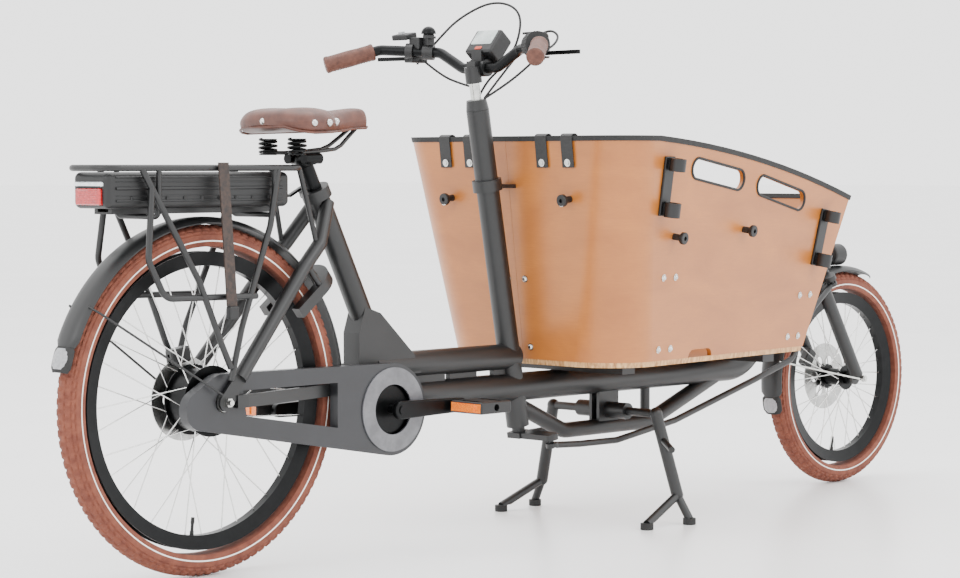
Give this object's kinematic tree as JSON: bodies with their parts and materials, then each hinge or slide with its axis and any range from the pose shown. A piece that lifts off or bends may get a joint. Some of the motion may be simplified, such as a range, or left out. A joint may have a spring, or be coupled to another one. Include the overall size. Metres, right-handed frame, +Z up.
{
  "type": "cargo bicycle",
  "caption": "Long two-wheeled electric cargo bicycle with a plywood box between the handlebar and the small front wheel, standing on its centre stand.",
  "frame": {"origin": "on the floor, below the middle of the whole bicycle", "axes": "+X forward along the bicycle, +Y to the rider's left, +Z up"},
  "size_m": [2.6094, 0.7166, 1.1182],
  "materials": {
    "frame_paint": "satin black",
    "motor_case": "black cast",
    "case_plastic": "dark slate",
    "chain_steel": "oiled",
    "crank_black": "satin black",
    "pedal_body": "black",
    "tyre_brown": "brown",
    "rim_black": "black",
    "spoke_steel": "bright",
    "plywood": "clear varnish",
    "rubber_black": "black",
    "hardware": "bolts and knobs",
    "webbing": "black",
    "leather_brown": "brown",
    "red_lens": "red"
  },
  "bodies": {
    "frame": {"seat_tube": "frame_paint", "seat_stays": "frame_paint", "chain_stays": "frame_paint", "centre_beam": "frame_paint", "column_tube": "frame_paint", "main_tube": "frame_paint", "head_tube": "frame_paint", "lower_truss": "frame_paint", "motor_unit": "motor_case", "chain_case": "case_plastic", "drive_chain": "chain_steel", "rear_fender": "frame_paint", "rear_rack": "frame_paint", "rack_strap": "webbing", "ring_lock": "frame_paint", "box_mounts": "frame_paint", "box_floor": "plywood", "box_side_right": "plywood", "box_side_left": "plywood", "box_rear_panels": "plywood", "box_front_panel": "plywood", "box_rim_trim": "rubber_black", "tent_brackets": "case_plastic", "box_hardware": "hardware", "belt_straps": "webbing"},
    "battery": {"battery": "case_plastic", "tail_light": "red_lens"},
    "bench": {"bench_board": "plywood"},
    "steering": {"steering_stem": "crank_black", "handlebar": "crank_black", "grips": "leather_brown", "bar_controls": "case_plastic", "display": "case_plastic", "control_hoses": "rubber_black"},
    "brake_lever_right": {"brake_lever_right": "crank_black"},
    "brake_lever_left": {"brake_lever_left": "crank_black"},
    "shift_drum": {"shift_drum": "case_plastic"},
    "bell_thumb": {"bell_thumb": "crank_black"},
    "remote_button": {"remote_button": "case_plastic"},
    "fork": {"fork": "frame_paint", "front_fender": "frame_paint", "headlight": "case_plastic"},
    "steering_rod": {"steering_rod": "frame_paint"},
    "front_wheel": {"front_tyre": "tyre_brown", "front_rim": "rim_black", "front_spokes": "spoke_steel", "front_hub": "crank_black"},
    "rear_wheel": {"rear_tyre": "tyre_brown", "rear_rim": "rim_black", "rear_spokes": "spoke_steel", "rear_hub": "crank_black"},
    "rear_sprocket": {"rear_sprocket": "chain_steel"},
    "crank": {"crank_set": "crank_black"},
    "pedal_right": {"pedal_right": "pedal_body"},
    "pedal_left": {"pedal_left": "pedal_body"},
    "stand": {"stand_frame": "frame_paint", "stand_feet": "rubber_black"},
    "saddle": {"saddle": "leather_brown", "seat_post": "crank_black"},
    "seat_clamp_lever": {"seat_clamp_lever": "motor_case"}
  },
  "joints": [
    {"name": "handlebar_steer", "type": "hinge", "parent": "frame", "child": "steering", "pos_m": [-0.09358, 0, 0.22], "axis": [-0.1822, 0, 0.9833], "range_deg": [-35, 35]},
    {"name": "fork_steer", "type": "hinge", "parent": "frame", "child": "fork", "pos_m": [1.04772, 0, 0.257], "axis": [-0.5344, 0, 0.8453], "range_deg": [-36, 36]},
    {"name": "rod_swing", "type": "hinge", "parent": "steering", "child": "steering_rod", "pos_m": [-0.08702, -0.092, 0.1846], "axis": [-0.1821, 0.0337, 0.9827], "range_deg": [-36, 36]},
    {"name": "brake_lever_right_pull", "type": "hinge", "parent": "steering", "child": "brake_lever_right", "pos_m": [-0.21228, -0.182, 1], "axis": [0, 0, -1], "range_deg": [0, 18], "stiffness_Nm_per_rad": 0.4},
    {"name": "brake_lever_left_pull", "type": "hinge", "parent": "steering", "child": "brake_lever_left", "pos_m": [-0.21228, 0.182, 1], "axis": [0, 0, 1], "range_deg": [0, 18], "stiffness_Nm_per_rad": 0.4},
    {"name": "shift_twist", "type": "hinge", "parent": "steering", "child": "shift_drum", "pos_m": [-0.25466, -0.19175, 1.01467], "axis": [-0.4914, -0.8693, 0.0529], "range_deg": [-50, 50]},
    {"name": "bell_thumb_push", "type": "hinge", "parent": "steering", "child": "bell_thumb", "pos_m": [-0.22428, 0.1235, 1.042], "axis": [0, 0, -1], "range_deg": [0, 20], "stiffness_Nm_per_rad": 0.02},
    {"name": "remote_button_press", "type": "slide", "parent": "steering", "child": "remote_button", "axis": [0.2079, 0, -0.9781], "range_m": [0, 0.0012], "stiffness_N_per_m": 600},
    {"name": "front_wheel_spin", "type": "hinge", "parent": "fork", "child": "front_wheel", "pos_m": [1.04772, 0, 0.257], "axis": [0, 1, 0], "continuous": true},
    {"name": "rear_wheel_spin", "type": "hinge", "parent": "frame", "child": "rear_wheel", "pos_m": [-0.96628, 0, 0.331], "axis": [0, 1, 0], "continuous": true},
    {"name": "crank_spin", "type": "hinge", "parent": "frame", "child": "crank", "pos_m": [-0.52728, 0, 0.288], "axis": [0, 1, 0], "continuous": true},
    {"name": "sprocket_spin", "type": "hinge", "parent": "frame", "child": "rear_sprocket", "pos_m": [-0.96628, 0, 0.331], "axis": [0, 1, 0], "continuous": true},
    {"name": "pedal_right_spin", "type": "hinge", "parent": "crank", "child": "pedal_right", "pos_m": [-0.35728, -0.144, 0.288], "axis": [0, 1, 0], "continuous": true},
    {"name": "pedal_left_spin", "type": "hinge", "parent": "crank", "child": "pedal_left", "pos_m": [-0.69728, 0.144, 0.288], "axis": [0, 1, 0], "continuous": true},
    {"name": "stand_fold", "type": "hinge", "parent": "frame", "child": "stand", "pos_m": [0.18372, 0, 0.236], "axis": [0, 1, 0], "range_deg": [0, 80]},
    {"name": "battery_slide", "type": "slide", "parent": "frame", "child": "battery", "axis": [-1, 0, 0], "range_m": [0, 0.4]},
    {"name": "saddle_height", "type": "slide", "parent": "frame", "child": "saddle", "axis": [-0.4473, 0, 0.8944], "range_m": [-0.015, 0.09]},
    {"name": "seat_lever_open", "type": "hinge", "parent": "frame", "child": "seat_clamp_lever", "pos_m": [-0.67828, 0.032, 0.728], "axis": [0.4473, 0, -0.8944], "range_deg": [0, 100]},
    {"name": "bench_lift", "type": "hinge", "parent": "frame", "child": "bench", "pos_m": [-0.06866, 0, 0.612], "axis": [0, -1, 0], "range_deg": [0, 70]}
  ],
  "couplings": [
    {"joint": "fork_steer", "follows": "handlebar_steer", "ratio": 1},
    {"joint": "rod_swing", "follows": "handlebar_steer", "ratio": -1},
    {"joint": "sprocket_spin", "follows": "crank_spin", "ratio": 2}
  ]
}
